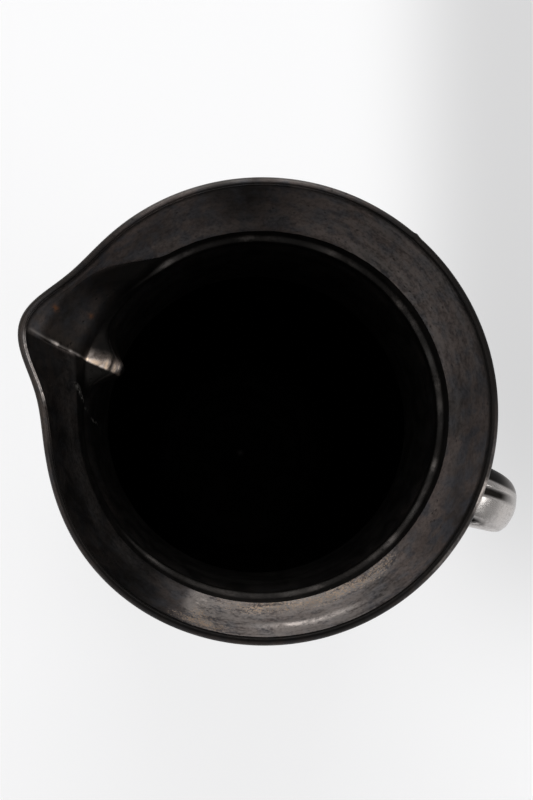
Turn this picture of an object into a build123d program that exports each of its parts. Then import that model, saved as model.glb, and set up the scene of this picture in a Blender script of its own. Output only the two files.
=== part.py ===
"""Oinochoe jug: a jug thrown in sections, luted with slip, with a pulled spout and a strap handle.

Millimetres. The origin is the middle of the foot, on the table, and +Z is up.
The spout points along -X and the handle stands out along +X.
"""

import math
import os

from build123d import *

# Foot ring
foot_height = 9.0
foot_flare = 2.0
foot_width = 8.5
foot_round = 1.2

# Body, from its flat underside to the shoulder
body_height = 148.0
base_radius = 44.0
belly_radius = 79.0
belly_rise = 84.0
shoulder_radius = 65.5
floor_thickness = 6.5

# Neck, from the shoulder to the ledge in the throat: drawn in at the waist and flared at the throat
neck_height = 46.0
waist_rise = 17.0
waist_tuck = 5.0
throat_flare = 2.8
throat_wall = 5.9
ledge_width = 1.3

# Mouth, from the ledge to the lip
mouth_height = 30.0
throat_rise = 8.5
flare_wall = 5.6
rim_radius = 80.0
lip_round = 2.2
lip_land = 0.7

# Spout: how far the lip is pulled out, and pushed in beside it, with the angles that each spreads over
spout_pull = 10.7
spout_spread = 12.0
dent_depth = 4.2
dent_turn = 23.7
dent_spread = 30.0
spout_start = 0.3

# Clay wall, and the slip that joins the pieces, with the bead that squeezes out of each seam
wall = 5.0
slip = 0.8
slip_bead = 0.5

# Handle: a crowned strap with three ribs between two grooves, wider where its roots are pressed on
strap_width = 22.5
strap_tail_width = 17.0
strap_thickness = 10.0
strap_edge = 3.0
edge_sink = 2.5
groove_depth = 1.6
groove_end_depth = 0.5
groove_run = 0.45
groove_places = (2.8, -7.2)
handle_stand = 16.0
handle_top_drop = 18.0
handle_crest = 15.0
bend_run = 15.0
bend_drop = 20.0
bend_lean = 0.25
handle_foot_rise = 20.0
root_slope = 0.7
tail_slope = 1.6
root_spread = 0.35
root_sharpness = 8
root_lap = 1.2

# Heights of the seams above the table
base = foot_height + slip
floor = base + floor_thickness
belly = base + belly_rise
shoulder = base + body_height
neck_base = shoulder + slip
waist = neck_base + waist_rise
throat = neck_base + neck_height
mouth_base = throat + slip
rim = mouth_base + mouth_height
flare_edge = mouth_base + throat_rise
lip_start = rim - lip_round
handle_top = throat - handle_top_drop
handle_foot = belly + handle_foot_rise

# Radii that follow from those above
foot_radius = base_radius + foot_flare
waist_radius = shoulder_radius - waist_tuck
throat_radius = shoulder_radius + throat_flare
ledge_radius = throat_radius - throat_wall
seam_radius = ledge_radius + ledge_width
lip_inside = rim_radius - lip_round - lip_land

# Slopes of the outside where two pieces meet, as run out for each unit of rise, and the flare's bend
base_slope = 0.8
shoulder_slope = -0.5
throat_slope = 0.36
flare_curve = 0.85

# How finely the mouth and the handle are lofted
outline_points = 72
mouth_steps = 4
lip_steps = 3
strap_stations = 10
root_stations = 4


def evenly(first, last, count):
    """Evenly spaced values from first to last, count steps apart."""
    return [first + (last - first) * step / count for step in range(count + 1)]


def body_side(foot, bulge, top, bottom_height):
    """Draw one side of the body, up from the foot through its widest point to the shoulder."""
    Spline((foot, bottom_height), (bulge, belly), tangents=((base_slope, 1), (0, 1)))
    Spline((bulge, belly), (top, shoulder), tangents=((0, 1), (shoulder_slope, 1)))


def neck_side(bottom, middle, top):
    """Draw one side of the neck, up from the shoulder through the waist to the throat."""
    Spline((bottom, neck_base), (middle, waist), tangents=((shoulder_slope, 1), (0, 1)))
    Spline((middle, waist), (top, throat), tangents=((0, 1), (throat_slope, 1)))


def jug_outside(extra):
    """Draw the closed outline of the jug's outside below the mouth, swollen by extra."""
    Line((0, base), (base_radius + extra, base))
    body_side(base_radius + extra, belly_radius + extra, shoulder_radius + extra, base)
    Line((shoulder_radius + extra, shoulder), (shoulder_radius + extra, neck_base))
    neck_side(shoulder_radius + extra, waist_radius + extra, throat_radius + extra)
    Line((throat_radius + extra, throat), (0, throat))
    Line((0, throat), (0, base))


def slip_ring(height, inner, outer):
    """Make the ring of slip on a flat seam, with the bead that squeezes out round the outside."""
    with BuildPart() as ring:
        with BuildSketch(Plane.XZ):
            with BuildLine():
                Line((inner, height + slip), (inner, height))
                Line((inner, height), (outer, height))
                bead = (outer + slip_bead, height + slip / 2)
                ThreePointArc((outer, height), bead, (outer, height + slip))
                Line((outer, height + slip), (inner, height + slip))
            make_face()
        revolve(axis=Axis.Z)
    return ring


def mouth_outside(height):
    """The mouth's outside radius at a height, curving out from the throat's slope to the lip."""
    depth = lip_start - mouth_base
    rise = (height - mouth_base) / depth
    run = throat_slope * depth
    return throat_radius + rise * run + rise**2 * (rim_radius - throat_radius - run)


def mouth_outline(radius, share):
    """Points of the mouth's outline: a circle with a share of the spout and of the dent beside it."""
    points = []
    for step in range(outline_points):
        turn = step * 360 / outline_points
        from_spout = (turn + 360) % 360 - 180
        from_dent = from_spout - dent_turn
        pull = spout_pull * math.exp(-((from_spout / spout_spread) ** 2))
        dent = dent_depth * math.exp(-((from_dent / dent_spread) ** 2))
        reach = radius + share * (pull - dent)
        points.append((reach * math.cos(math.radians(turn)), reach * math.sin(math.radians(turn))))
    return points


def spout_share(height):
    """The share of the spout at a height in the mouth: none at the seam and all of it at the lip."""
    if height < flare_edge:
        return spout_start * (height - mouth_base) / (flare_edge - mouth_base)
    rise = min((height - flare_edge) / (lip_start - flare_edge), 1)
    return spout_start + (1 - spout_start) * rise


def strap_outline(width, thickness, groove):
    """Draw the strap's cross-section: three ribs on a crowned outside, a flat curve inside, rounded edges."""
    half = width / 2 - strap_edge / 2
    face = thickness / 2
    edge = strap_edge / 2
    left, right = (place * width / strap_width for place in groove_places)

    def crown(across):
        """Height of the outer face, an ellipse that falls from the middle to the sunk edges."""
        return (face + edge_sink) * math.sqrt(1 - (2 * across / width) ** 2) - edge_sink

    upper, lower = (half, edge - edge_sink), (half, -edge - edge_sink)
    far_upper, far_lower = (-half, edge - edge_sink), (-half, -edge - edge_sink)
    ThreePointArc(lower, (half + edge, -edge_sink), upper)
    for start, middle, end in (
        (upper, (half + left) / 2, (left, crown(left) - groove)),
        ((left, crown(left) - groove), (left + right) / 2, (right, crown(right) - groove)),
        ((right, crown(right) - groove), (right - half) / 2, far_upper),
    ):
        ThreePointArc(start, (middle, crown(middle)), end)
    ThreePointArc(far_upper, (-half - edge, -edge_sink), far_lower)
    ThreePointArc(far_lower, (0, -face), lower)


# The foot ring, flat on the table and flat under the body
with BuildPart() as foot_ring:
    with BuildSketch(Plane.XZ):
        with BuildLine():
            Polyline(
                (foot_radius - foot_width, 0),
                (foot_radius, 0),
                (base_radius, foot_height),
                (base_radius - foot_width, foot_height),
                close=True,
            )
        make_face()
    revolve(axis=Axis.Z)
    fillet(foot_ring.edges().group_by(Axis.Z)[0], radius=foot_round)

foot_slip = slip_ring(foot_height, base_radius - foot_width, base_radius)

# The body, hollow, with a flat seat under it for the foot and a flat seam on top
with BuildPart() as body:
    with BuildSketch(Plane.XZ):
        with BuildLine():
            Line((0, base), (base_radius, base))
            body_side(base_radius, belly_radius, shoulder_radius, base)
            Line((shoulder_radius, shoulder), (0, shoulder))
            Line((0, shoulder), (0, base))
        make_face()
    revolve(axis=Axis.Z)
    with BuildSketch(Plane.XZ):
        with BuildLine():
            Line((0, floor), (base_radius - wall, floor))
            body_side(base_radius - wall, belly_radius - wall, shoulder_radius - wall, floor)
            Line((shoulder_radius - wall, shoulder), (0, shoulder))
            Line((0, shoulder), (0, floor))
        make_face()
    revolve(axis=Axis.Z, mode=Mode.SUBTRACT)

neck_slip = slip_ring(shoulder, shoulder_radius - wall, shoulder_radius)

# The neck, whose top stands proud inside as the ledge in the throat
with BuildPart() as neck:
    with BuildSketch(Plane.XZ):
        with BuildLine():
            Line((0, neck_base), (shoulder_radius, neck_base))
            neck_side(shoulder_radius, waist_radius, throat_radius)
            Line((throat_radius, throat), (0, throat))
            Line((0, throat), (0, neck_base))
        make_face()
    revolve(axis=Axis.Z)
    with BuildSketch(Plane.XZ):
        with BuildLine():
            Line((0, neck_base), (shoulder_radius - wall, neck_base))
            neck_side(shoulder_radius - wall, waist_radius - wall, ledge_radius)
            Line((ledge_radius, throat), (0, throat))
            Line((0, throat), (0, neck_base))
        make_face()
    revolve(axis=Axis.Z, mode=Mode.SUBTRACT)

mouth_slip = slip_ring(throat, seam_radius, throat_radius)

# The mouth: a flaring outside with a rounded lip, less the throat and the flare inside
flare_edge_radius = mouth_outside(flare_edge) - flare_wall
flare_run = lip_inside - flare_edge_radius
outside_levels = [(height, mouth_outside(height)) for height in evenly(mouth_base, lip_start, mouth_steps)]
lip_levels = [
    (lip_start + lip_round * math.sin(turn), rim_radius - lip_round * (1 - math.cos(turn)))
    for turn in evenly(0, math.pi / 2, lip_steps)
]
throat_levels = [(mouth_base, seam_radius), (flare_edge, flare_edge_radius)]
flare_levels = [
    (flare_edge + rise * (rim - flare_edge), flare_edge_radius + rise**flare_curve * flare_run)
    for rise in evenly(0, 1, mouth_steps)
]
with BuildPart() as mouth:
    for levels, straight, mode in (
        (outside_levels, False, Mode.ADD),
        (lip_levels, False, Mode.ADD),
        (throat_levels, True, Mode.SUBTRACT),
        (flare_levels, False, Mode.SUBTRACT),
    ):
        for height, radius in levels:
            with BuildSketch(Plane.XY.offset(height)):
                with BuildLine():
                    Spline(*mouth_outline(radius, spout_share(height)), periodic=True)
                make_face()
        loft(ruled=straight, mode=mode)

# The middle line of the strap: out of the neck's wall, over a crest, down and back into the belly's wall
handle_reach = belly_radius + handle_stand
with BuildLine() as strap_line:
    Spline(
        (waist_radius - wall, 0, handle_top),
        (handle_reach - bend_run, 0, handle_top + handle_crest),
        (handle_reach, 0, handle_top + handle_crest - bend_drop),
        (belly_radius - wall, 0, handle_foot),
        tangents=((1, 0, root_slope), (1, 0, 0), (-bend_lean, 0, -1), (-1, 0, -tail_slope)),
    )


def strap_plane(along):
    """The plane across the strap at a place along it, from 0 at the neck to 1 at the belly."""
    return Plane(origin=strap_line.line @ along, x_dir=(0, 1, 0), z_dir=strap_line.line % along)


def strap_size(along, extra):
    """Width, thickness and groove of the strap at a place along it, spread at both roots, grown by extra."""
    spread = 1 + root_spread * (2 * along - 1) ** root_sharpness
    width = strap_width + along * (strap_tail_width - strap_width)
    fade = min(along / groove_run, 1)
    groove = groove_depth + fade * (groove_end_depth - groove_depth)
    return width * spread + 2 * extra, strap_thickness * spread + 2 * extra, groove


# The handle, cut where its roots sit on the slip
with BuildPart() as handle:
    for along in evenly(0, 1, strap_stations):
        with BuildSketch(strap_plane(along)):
            with BuildLine():
                strap_outline(*strap_size(along, 0))
            make_face()
    loft()
    with BuildSketch(Plane.XZ):
        with BuildLine():
            jug_outside(slip)
        make_face()
    revolve(axis=Axis.Z, mode=Mode.SUBTRACT)


def slip_pad(first, last):
    """Make the pad of slip under a root of the handle, a skin on the jug that laps past the strap."""
    with BuildPart() as pad:
        for along in evenly(first, last, root_stations):
            with BuildSketch(strap_plane(along)):
                with BuildLine():
                    strap_outline(*strap_size(along, root_lap))
                make_face()
        loft()
        with BuildSketch(Plane.XZ):
            with BuildLine():
                jug_outside(slip)
            make_face()
        revolve(axis=Axis.Z, mode=Mode.INTERSECT)
        with BuildSketch(Plane.XZ):
            with BuildLine():
                jug_outside(0)
            make_face()
        revolve(axis=Axis.Z, mode=Mode.SUBTRACT)
    return pad


handle_upper_slip = slip_pad(0, root_stations / strap_stations)
handle_lower_slip = slip_pad(1 - root_stations / strap_stations, 1)

pieces = {
    "foot_ring": foot_ring,
    "foot_slip": foot_slip,
    "body": body,
    "neck_slip": neck_slip,
    "neck": neck,
    "mouth_slip": mouth_slip,
    "mouth": mouth,
    "handle": handle,
    "handle_upper_slip": handle_upper_slip,
    "handle_lower_slip": handle_lower_slip,
}
os.makedirs("parts", exist_ok=True)
for name, piece in pieces.items():
    piece.part.label = name
    export_step(piece.part, f"parts/{name}.step")
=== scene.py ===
import math

import bpy
import numpy as np
from mathutils import Matrix, Vector


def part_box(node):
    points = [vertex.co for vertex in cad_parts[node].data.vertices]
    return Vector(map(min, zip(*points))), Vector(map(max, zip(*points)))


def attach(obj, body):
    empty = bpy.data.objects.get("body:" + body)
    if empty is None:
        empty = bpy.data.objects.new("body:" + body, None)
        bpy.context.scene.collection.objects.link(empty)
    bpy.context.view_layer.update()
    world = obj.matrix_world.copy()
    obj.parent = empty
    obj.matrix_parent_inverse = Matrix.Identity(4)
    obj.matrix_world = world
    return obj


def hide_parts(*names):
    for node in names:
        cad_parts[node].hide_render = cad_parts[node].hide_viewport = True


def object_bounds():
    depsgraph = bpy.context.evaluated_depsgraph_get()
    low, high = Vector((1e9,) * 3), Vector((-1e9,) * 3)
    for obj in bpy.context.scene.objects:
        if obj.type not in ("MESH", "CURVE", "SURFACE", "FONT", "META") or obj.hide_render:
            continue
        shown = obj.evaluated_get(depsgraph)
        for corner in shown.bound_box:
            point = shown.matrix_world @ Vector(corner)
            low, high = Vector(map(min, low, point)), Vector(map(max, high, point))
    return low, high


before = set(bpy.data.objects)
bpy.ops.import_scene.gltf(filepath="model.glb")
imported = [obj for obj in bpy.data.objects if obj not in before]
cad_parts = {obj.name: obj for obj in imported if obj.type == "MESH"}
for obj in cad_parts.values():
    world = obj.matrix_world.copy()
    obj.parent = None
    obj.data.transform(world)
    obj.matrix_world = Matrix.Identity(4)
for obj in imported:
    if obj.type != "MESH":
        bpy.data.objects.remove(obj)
CAD_LOW, CAD_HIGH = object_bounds()

bl_info = {
    "name": "Lustre jug",
    "version": (1, 0, 0),
    "blender": (4, 5, 0),
    "location": "3D View > Sidebar > Jug",
    "description": "Builds a thrown pouring jug in black lustre glaze, and a plain studio round it",
    "category": "Add Mesh",
}

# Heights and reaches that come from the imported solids
FOOT_LOW, FOOT_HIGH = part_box("foot_ring")
BODY_LOW, BODY_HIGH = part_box("body")
NECK_LOW, NECK_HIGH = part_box("neck")
MOUTH_LOW, MOUTH_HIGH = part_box("mouth")
RIM_REACH = min(CAD_HIGH.y, -CAD_LOW.y)

TAU = 2.0 * math.pi
SEED = 7
SHARP_ANGLE = math.radians(55.0)


def length(label, text, default):
    """A property for a size in metres."""
    return bpy.props.FloatProperty(
        name=label, description=text, default=default, unit="LENGTH", precision=4)


def angle(label, text, degrees):
    """A property for an angle, with its default in degrees."""
    return bpy.props.FloatProperty(
        name=label, description=text, default=math.radians(degrees), subtype="ANGLE")


def factor(label, text, default):
    """A property for a plain number from nothing to one."""
    return bpy.props.FloatProperty(
        name=label, description=text, default=default, min=0.0, max=1.0, subtype="FACTOR")


def amount(label, text, default):
    """A property for a strength or a power."""
    return bpy.props.FloatProperty(
        name=label, description=text, default=default, min=0.0, subtype="UNSIGNED")


def colour(label, text, default):
    """A property for a colour in linear light."""
    return bpy.props.FloatVectorProperty(
        name=label, description=text, default=default, size=3, min=0.0, max=1.0, subtype="COLOR")


class JugShape(bpy.types.PropertyGroup):
    """Sizes of the thrown and pulled clay."""

    base_radius: length("Base radius", "Outside radius where the body meets its foot", 0.0440)
    belly_radius: length("Belly radius", "Outside radius of the body at its widest", BODY_HIGH.y)
    belly_height: length("Belly height", "Height of the widest part of the body", 0.0938)
    shoulder_radius: length("Shoulder radius", "Outside radius where body and neck join", 0.0655)
    waist_radius: length("Waist radius", "Outside radius of the neck at its narrowest", 0.0605)
    waist_height: length("Waist height", "Height of the narrowest part of the neck", 0.1756)
    throat_radius: length("Throat radius", "Outside radius where neck and mouth join", 0.0683)
    rim_radius: length("Rim radius", "Outside radius of the round part of the rim", RIM_REACH)
    wall: length("Wall", "Thickness of the thrown wall", 0.0050)
    floor_thickness: length("Floor", "Thickness of the body's floor", 0.0065)
    foot_flare: length("Foot flare", "How far the foot ring spreads towards the table", 0.0020)
    foot_width: length("Foot width", "Width of the foot ring's wall", 0.0085)
    lip_round: length("Lip rounding", "Radius of the rolled lip's outer side", 0.0022)
    lip_width: length("Lip width", "Width of the lip from its outside to the flare", 0.0029)
    lip_line: length("Lip line", "Depth of the line incised in the lip", 0.0003)
    flare_edge_height: length("Flare edge", "Height of the sharp edge under the flare", 0.2139)
    flare_edge_radius: length("Flare edge radius", "Inside radius at the flare's lower edge", 0.0659)
    groove_depth: length("Throat groove", "How far the groove under the flare cuts back", 0.0016)
    ledge_reach: length("Ledge", "How far the ledge stands into the throat", 0.0014)
    spout_pull: length("Spout pull", "How far the spout is pulled out past the rim", 0.0107)
    spout_spread: angle("Spout spread", "Angle over which the pull dies away", 12.0)
    dent_depth: length("Dent depth", "How far the rim is pressed in beside the spout", 0.0042)
    dent_turn: angle("Dent turn", "Angle from the spout to the dent", 23.7)
    dent_spread: angle("Dent spread", "Angle over which the dent dies away", 30.0)
    spout_droop: length("Spout droop", "How far the tip of the spout hangs below the rim", 0.0008)
    scoop_depth: length("Scoop", "Depth of the thumbed hollow beside the crease", 0.0030)
    crease_depth: length("Crease", "Depth of the crease along the spout", 0.0014)
    sill_reach: length("Sill", "How far the end of the spout stands into the throat", 0.0100)
    strap_width: length("Strap width", "Width of the handle at the neck", 0.0240)
    strap_tail_width: length("Strap tail width", "Width of the handle at the belly", 0.0170)
    strap_thickness: length("Strap thickness", "Thickness of the handle", 0.0100)
    strap_sink: length("Strap edges", "How far the strap's edges lie below its middle line", 0.0025)
    strap_groove: length("Strap groove", "Depth of the two grooves along the handle", 0.0016)
    root_fillet: length("Root fillet", "Size of the smoothed slip round the handle's ends", 0.0042)
    seam_bead: length("Seam bead", "How far the luting slip stands out of the seams", 0.0005)
    wobble: length("Unevenness", "Slow unevenness of the hand-thrown wall", 0.00022)
    ring_depth: length("Throwing rings", "Depth of the throwing rings", 0.00012)


class JugGlaze(bpy.types.PropertyGroup):
    """Colours and finish of the glaze and the clay, and of the painted shade, sheen and
    highlights laid on the glaze.
    """

    black: colour("Black", "Darkest part of the glaze", (0.042, 0.037, 0.036))
    brown: colour("Brown", "Brown ground of the glaze", (0.128, 0.101, 0.092))
    steel: colour("Steel", "Blue-grey blots in the glaze", (0.064, 0.065, 0.074))
    # Bronze serves real wear on seams, rings and foot, and painted highlights on flare, spout and handle
    bronze: colour("Bronze", "Glaze worn thin on edges and high spots", (0.680, 0.520, 0.390))
    # Lustre is a painted sheen and silver a painted highlight, both laid where light falls
    lustre: colour("Lustre", "Silvery bloom on the glaze", (0.780, 0.700, 0.655))
    silver: colour("Silver", "Lustre rubbed bright by hands", (0.600, 0.570, 0.550))
    rust: colour("Rust", "Iron specks", (0.330, 0.120, 0.030))
    scuff: colour("Scuff", "Pale scratch", (0.420, 0.400, 0.380))
    # Inside is the near-black of painted shade: inside the jug, in the throat and the handle's grooves
    inside: colour("Inside", "Glaze inside the jug", (0.0105, 0.0098, 0.0092))
    clay: colour("Clay", "Bare clay under the foot", (0.150, 0.085, 0.055))
    metal: factor("Metal", "How metallic the dark glaze is", 0.40)
    smooth: factor("Smoothest", "Roughness of the smoothest glaze", 0.32)
    rough: factor("Roughest", "Roughness of the roughest glaze", 0.50)
    bloom: factor("Bloom", "Roughness of the silvery bloom and the bronze wear", 0.56)
    bright: factor("Rubbed", "Roughness of the rubbed silver", 0.20)
    gilded: factor("Gilded", "Roughness of the brushed bronze", 0.30)


class JugStudio(bpy.types.PropertyGroup):
    """Floor, light and camera."""

    floor: colour("Floor", "Colour of the pale floor", (0.80, 0.80, 0.805))
    glow: colour("Backdrop", "White that the floor adds where it is seen", (0.765, 0.765, 0.77))
    matte: factor("Backdrop matte", "Share of the floor's colour that still takes shadow there", 0.25)
    # Brightness of the painted shade on the floor's grey side
    shade: factor("Shade", "How bright the floor stays on its shaded side", 0.71)
    surround: amount("Surround", "Light from the horizon", 0.50)
    overhead: amount("Overhead", "Light from straight above", 0.10)
    key_power: amount("Key light", "Power of the large panel, in watts", 16.0)
    low_power: amount("Low light", "Power of the low panel, in watts", 6.0)
    fill_power: amount("Fill light", "Power of the panel on the spout's side, in watts", 6.0)
    rim_power: amount("Rim light", "Power of the panel on the handle's side, in watts", 6.0)
    distance: length("Camera distance", "From the camera to the rim", 0.600)
    tilt: angle("Camera tilt", "Lean of the view from straight down", 6.25)
    side: angle("Camera side", "Direction of the camera's lean, about the thrown axis", 260.0)
    image_up: angle("Image up", "Direction that is up in the picture, about the thrown axis", 109.0)
    view_height: length("View height", "Height of the picture at the rim", 0.2708)
    rim_right: length("Rim right", "How far the rim's middle lies right of the picture's", -0.00035)
    rim_down: length("Rim down", "How far the rim's middle lies below the picture's", 0.0026)


def smooth_step(t):
    """Nothing below 0 and one above 1, with the cubic 3t^2 - 2t^3 between."""
    t = np.clip(t, 0.0, 1.0)
    return t * t * (3.0 - 2.0 * t)


def bell(value, middle, spread):
    """Gaussian bell: e to the power of minus the squared distance from middle in spreads."""
    return np.exp(-((value - middle) / spread) ** 2)


def bells(value, spots):
    """Sum of bells, each given by its strength, middle and spread."""
    return sum(strength * bell(value, middle, spread) for strength, middle, spread in spots)


def hump(value, low, high):
    """Parabola 4t(1 - t) that is nothing at low and high and one half-way."""
    t = np.clip((value - low) / (high - low), 0.0, 1.0)
    return 4.0 * t * (1.0 - t)


def window(value, start, stop, soft):
    """One between start and stop, smoothed to nothing over a stretch of soft inside both ends."""
    return smooth_step((value - start) / soft) * smooth_step((stop - value) / soft)


def cubic(t, start, leave, end, arrive):
    """Cubic over t from 0 to 1 that runs from start to end with the tangents leave and arrive."""
    over = 3.0 * t**2 - 2.0 * t**3
    return (1.0 - over) * start + (t**3 - 2.0 * t**2 + t) * leave + over * end + (t**3 - t**2) * arrive


def cubic_profile(height, knots):
    """Radius over height: between neighbouring knots of height, radius and slope, the cubic that
    meets both radii with both slopes."""
    heights, radii, slopes = np.array(knots, float).T
    place = np.clip(np.searchsorted(heights, height, side="right") - 1, 0, len(heights) - 2)
    span = heights[place + 1] - heights[place]
    t = np.clip((height - heights[place]) / span, 0.0, 1.0)
    return cubic(t, radii[place], span * slopes[place], radii[place + 1], span * slopes[place + 1])


def signed(turn):
    """The turn brought between minus and plus half a circle."""
    return (turn + math.pi) % TAU - math.pi


def turns(columns, crowding=0.6):
    """Turns about the thrown axis from the spout towards -Y: even steps less a sine of themselves,
    so that they crowd at the spout and thin out opposite."""
    even = np.arange(columns) * TAU / columns
    return even - crowding * np.sin(even)


def unevenness(turn, height):
    """Between nothing and one: four sine waves round the axis that drift with height, with seeded
    phases, each weaker than the one before."""
    draw = np.random.default_rng(SEED)
    total = 0.0
    for wave in range(1, 5):
        phase = draw.uniform(0.0, TAU)
        drift = draw.uniform(-30.0, 30.0)
        total = total + np.sin(wave * turn + phase + drift * height) / wave
    return 0.5 + total / 4.2


def rings(turn, height, pitch):
    """Between minus one and one: a sine in height that climbs one pitch each turn, as fingers
    leave it on the wheel."""
    return np.sin(TAU * height / pitch + turn)


# Throwing rings: their pitches, and where those inside fade out below the mouth
OUTER_PITCH = 0.0085
INNER_PITCH = 0.0052
RINGS_TOP = 0.2040
RINGS_FADE = 0.0100

# Power of the mouth's rise by which the spout's outline grows
PULL_POWER = 1.1


def spout_outline(s, turn):
    """Change of the rim's radius: a bell of spout_pull on the spout's axis less a bell of dent_depth
    beside it."""
    f = signed(turn)
    pull = s.spout_pull * bell(f, 0.0, s.spout_spread)
    return pull - s.dent_depth * bell(f, s.dent_turn, s.dent_spread)


def mouth_rise(height):
    """Share of the mouth's height, from nothing at its seam to one at the rim."""
    return np.clip((height - MOUTH_LOW.z) / (MOUTH_HIGH.z - MOUTH_LOW.z), 0.0, 1.0)


def outer_radius(s, turn, height):
    """Outside of the jug: cubics through base, belly, shoulder, waist, throat and lip, plus the
    spout's outline in proportion to the mouth's rise, less unevenness and throwing rings."""
    lip_start = MOUTH_HIGH.z - s.lip_round
    profile = cubic_profile(height, [
        (BODY_LOW.z, s.base_radius, 0.8),
        (s.belly_height, s.belly_radius, 0.0),
        (BODY_HIGH.z, s.shoulder_radius, -0.5),
        (s.waist_height, s.waist_radius, 0.0),
        (NECK_HIGH.z, s.throat_radius, 0.36),
        (lip_start, s.rim_radius, 0.48)])
    rise = np.clip((height - MOUTH_LOW.z) / (lip_start - MOUTH_LOW.z), 0.0, 1.0)
    spout = rise**PULL_POWER * spout_outline(s, turn)
    ring = s.ring_depth * (1.0 + rings(turn, height, OUTER_PITCH)) * (1.0 - smooth_step(rise))
    return profile + spout - s.wobble * unevenness(turn, height) - ring


# Flare's lower edge: its climb beside the spout, its sag on the +Y side and its waviness, as
# heights and as turns from the spout; its fade is a start and a span on the +Y and the -Y side
CLIMB_RISE = 0.0150
CLIMB_START = -0.72
CLIMB_SPAN = 0.50
SAG_TURN = -1.24
SAG_SPREAD = 0.55
EDGE_SAG = 0.0012
EDGE_WAVE = 0.0006
EDGE_FADE = ((0.12, 0.14), (0.80, 0.60))

# Groove under that edge: how far it reaches down, and the share of that over which it bites in
GROOVE_FALL = 0.0080
GROOVE_BITE = 0.05

# Ledge in the throat: its height over the neck, its sag, its spreads up and down, and its fade
LEDGE_RISE = 0.0038
LEDGE_SAG = 0.0010
LEDGE_ABOVE = 0.0008
LEDGE_BELOW = 0.0036
LEDGE_FADE = ((0.30, 0.45), (0.80, 0.70))

# Ring below the ledge, and ridge on the flare: depth, height and spread
THROAT_RING = (0.0004, 0.1930, 0.0015)
FLARE_RIDGE = (0.0007, 0.2268, 0.0016)
RIDGE_TURNS = (1.65, 2.55, 0.35)

# Crease of the spout: its turn, its drift and fall to the throat, its heights, the spreads of its
# sides towards +Y and -Y and the rounding between them; its knots are depth, height and spread
CREASE_TURN = 0.006
CREASE_DRIFT = 0.022
CREASE_FALL = 0.0268
CREASE_HEIGHTS = (0.2030, 0.2354)
CREASE_PLUS = 0.085
CREASE_MINUS = 0.045
CREASE_ROUND = 0.01
CREASE_KNOTS = ((0.00045, 0.2196, 0.0007), (0.00025, 0.2146, 0.0006))
KNOT_TURN = -0.004
KNOT_SPREAD = 0.014

# Hollow beside the crease, and the sill where the spout ends in the throat
HOLLOW_TURN = -0.26
HOLLOW_SPREAD = 0.18
HOLLOW_HEIGHTS = (0.2060, 0.2330)
SILL_TURN = -0.02
SILL_SPREAD = 0.12
SILL_TOP = 0.2085
SILL_ROUND = 0.0050
SILL_BASE = 0.2030
SILL_FALL = 0.0240

# How much thicker the neck's wall is at the throat
THROAT_INSET = 0.0005


def edge_climb(turn):
    """Rise of the flare's lower edge beside the spout, where the hollow eats up to the lip: a smooth
    step over the turn that ends at the crease."""
    f = signed(turn)
    return CLIMB_RISE * smooth_step((f - CLIMB_START) / CLIMB_SPAN) * (f < CREASE_TURN + CREASE_DRIFT)


def throat_sag(turn):
    """Bell of how much lower the flare's edge and the ledge lie on the +Y side."""
    return bell(signed(turn), SAG_TURN, SAG_SPREAD)


def flare_edge(s, turn):
    """Height of the flare's lower edge, with its climb beside the spout and its sag."""
    return s.flare_edge_height + edge_climb(turn) - EDGE_SAG * throat_sag(turn)


def ledge_height(turn):
    """Height of the ledge in the throat, with its sag."""
    return NECK_HIGH.z + LEDGE_RISE - LEDGE_SAG * throat_sag(turn)


def beyond_spout(turn, fade):
    """Nothing at the spout and one away from it: a smooth step over the turn on each side, whose
    fade gives a start and a span for the +Y side and for the -Y side."""
    f = signed(turn)
    (plus_start, plus_span), (minus_start, minus_span) = fade
    plus = smooth_step((-f - plus_start) / plus_span)
    minus = smooth_step((f - minus_start) / minus_span)
    return np.where(f < 0.0, plus, minus)


def crease_turn(height):
    """Turn at which the spout's crease lies: it drifts towards -Y on its way down."""
    return CREASE_TURN + CREASE_DRIFT * np.clip((MOUTH_HIGH.z - height) / CREASE_FALL, 0.0, 1.0)


def throat_steps(s, turn, height):
    """Groove under the flare's edge, which bites in at once and dies away downwards, less the ledge: a
    bell that is short upwards and long downwards, with a faint ring below it."""
    edge = flare_edge(s, turn) + EDGE_WAVE * (unevenness(turn, 0.0) - 0.5)
    below = np.clip((edge - height) / GROOVE_FALL, 0.0, 1.0)
    groove = s.groove_depth * (1.0 - np.exp(-below / GROOVE_BITE)) * (1.0 - below) ** 1.2
    top = ledge_height(turn)
    ledge = s.ledge_reach * bell(height, top, np.where(height > top, LEDGE_ABOVE, LEDGE_BELOW))
    ledge = ledge + bells(height, (THROAT_RING,))
    return beyond_spout(turn, EDGE_FADE) * groove - beyond_spout(turn, LEDGE_FADE) * ledge


def spout_relief(s, f, height):
    """Inside of the spout: a bell of hollow on the +Y side and a crease that dies away on both sides
    as a power of e, less two knots on the crease and the sill that stands into the throat."""
    beside = f - crease_turn(height)
    hollow = s.scoop_depth * bell(f, HOLLOW_TURN, HOLLOW_SPREAD) * hump(height, *HOLLOW_HEIGHTS)
    lean = np.where(beside < 0.0, CREASE_PLUS, CREASE_MINUS)
    crease = np.exp(-(np.hypot(beside, CREASE_ROUND) - CREASE_ROUND) / lean)
    crease = s.crease_depth * crease * hump(height, *CREASE_HEIGHTS) ** 0.7
    knots = bells(height, CREASE_KNOTS) * bell(beside, KNOT_TURN, KNOT_SPREAD)
    shelf = smooth_step((SILL_TOP - height) / SILL_ROUND)
    shelf = shelf * (1.0 - smooth_step((SILL_BASE - height) / SILL_FALL))
    sill = s.sill_reach * bell(beside, SILL_TURN, SILL_SPREAD) * shelf
    return hollow + crease - knots - sill


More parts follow.
